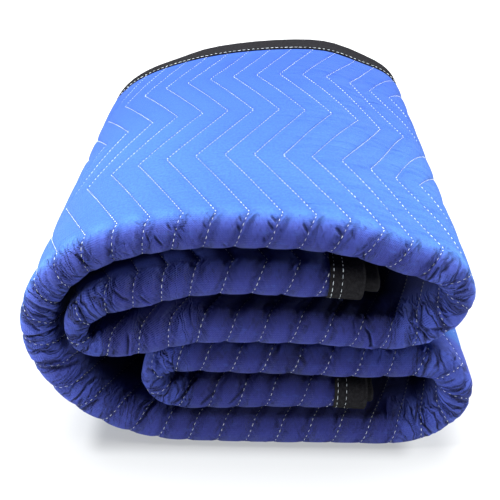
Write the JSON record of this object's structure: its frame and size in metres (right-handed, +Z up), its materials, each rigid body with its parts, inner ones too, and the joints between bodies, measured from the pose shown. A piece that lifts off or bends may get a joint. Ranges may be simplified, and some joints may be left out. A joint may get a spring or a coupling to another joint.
{
  "type": "moving blanket",
  "caption": "Quilted moving blanket with bound edges, folded lengthwise and then back and forth into a flat stack of thick rounded layers.",
  "frame": {"origin": "on the floor under the middle of the folded bundle's bounding box", "axes": "+X to the right across the folded layers as seen from the folded front, +Y from the folded front to the bound back, +Z up"},
  "size_m": [0.3774, 0.4938, 0.2233],
  "materials": {
    "quilted_fabric": "matte woven",
    "binding_tape": "matte ribbed",
    "stitch_thread": "satin thread"
  },
  "bodies": {
    "root": {"blanket": "quilted_fabric", "binding_first_side": "binding_tape", "binding_second_side": "binding_tape", "binding_upper_end": "binding_tape", "binding_lower_end": "binding_tape"}
  },
  "joints": []
}
